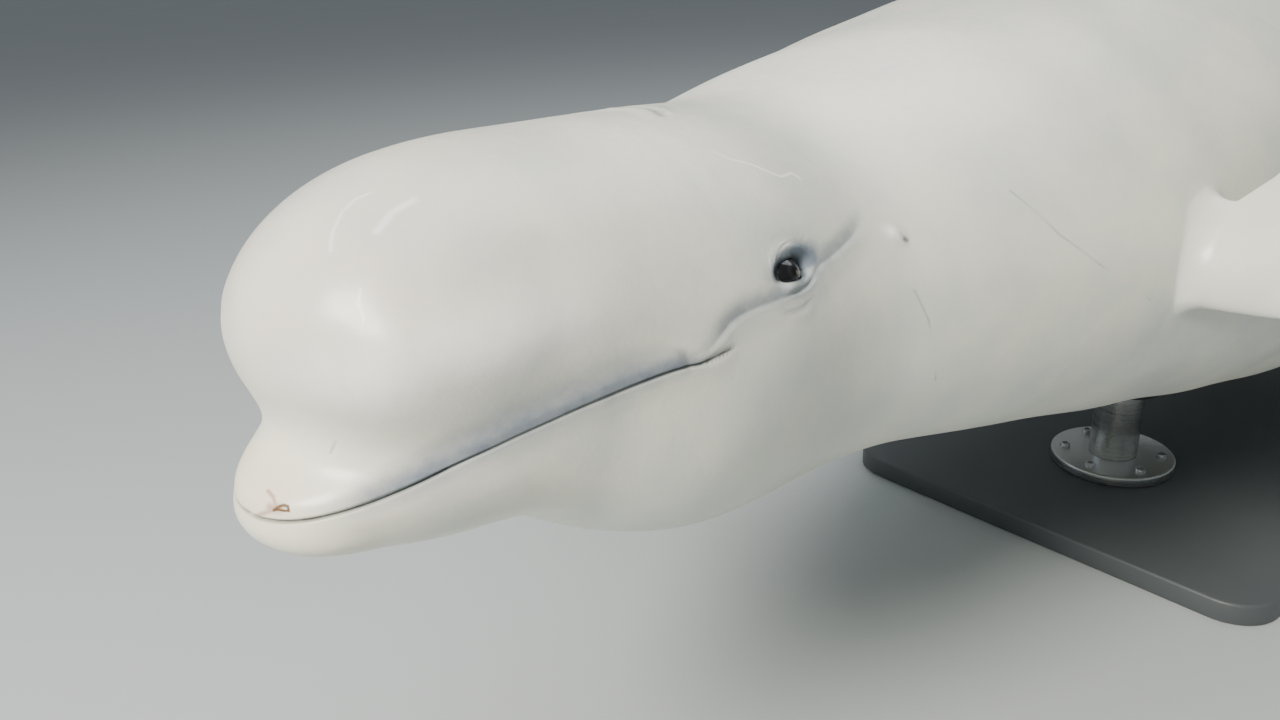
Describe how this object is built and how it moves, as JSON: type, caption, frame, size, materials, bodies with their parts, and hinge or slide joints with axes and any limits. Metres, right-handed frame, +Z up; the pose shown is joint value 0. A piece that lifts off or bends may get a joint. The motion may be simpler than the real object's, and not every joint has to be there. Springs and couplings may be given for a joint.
{
  "type": "beluga whale model on a stand",
  "caption": "Still life-size adult beluga whale, head turned slightly to its left, held level above a flat rounded base by two short rods under the chest and the loin.",
  "frame": {"origin": "middle of the underside of the stand's flat base", "axes": "+Z up, -Y the way the trunk faces, +X the whale's left side"},
  "size_m": [1.354, 3.6488, 0.7975],
  "materials": {
    "skin": "wet satin skin, off-white with grey lips",
    "eye": "wet and glossy, dark brown",
    "stand_plate": "fine textured powder coat, charcoal",
    "stand_steel": "brushed round the rod",
    "stand_pad": "matt black rubber"
  },
  "bodies": {
    "root": {"melon": "skin", "upper_jaw": "skin", "lower_jaw": "skin", "blowhole": "skin", "head": "skin", "neck": "skin", "trunk_front": "skin", "trunk_middle": "skin", "trunk_rear": "skin", "dorsal_ridge": "skin", "tail_stock": "skin", "flipper_left": "skin", "flipper_right": "skin", "fluke_left": "skin", "fluke_right": "skin", "eye_left": "eye", "eye_right": "eye", "stand_base": "stand_plate", "stand_foot_front": "stand_steel", "stand_foot_rear": "stand_steel", "stand_rod_front": "stand_steel", "stand_rod_rear": "stand_steel", "stand_collar_front": "stand_pad", "stand_collar_rear": "stand_pad"}
  },
  "joints": []
}
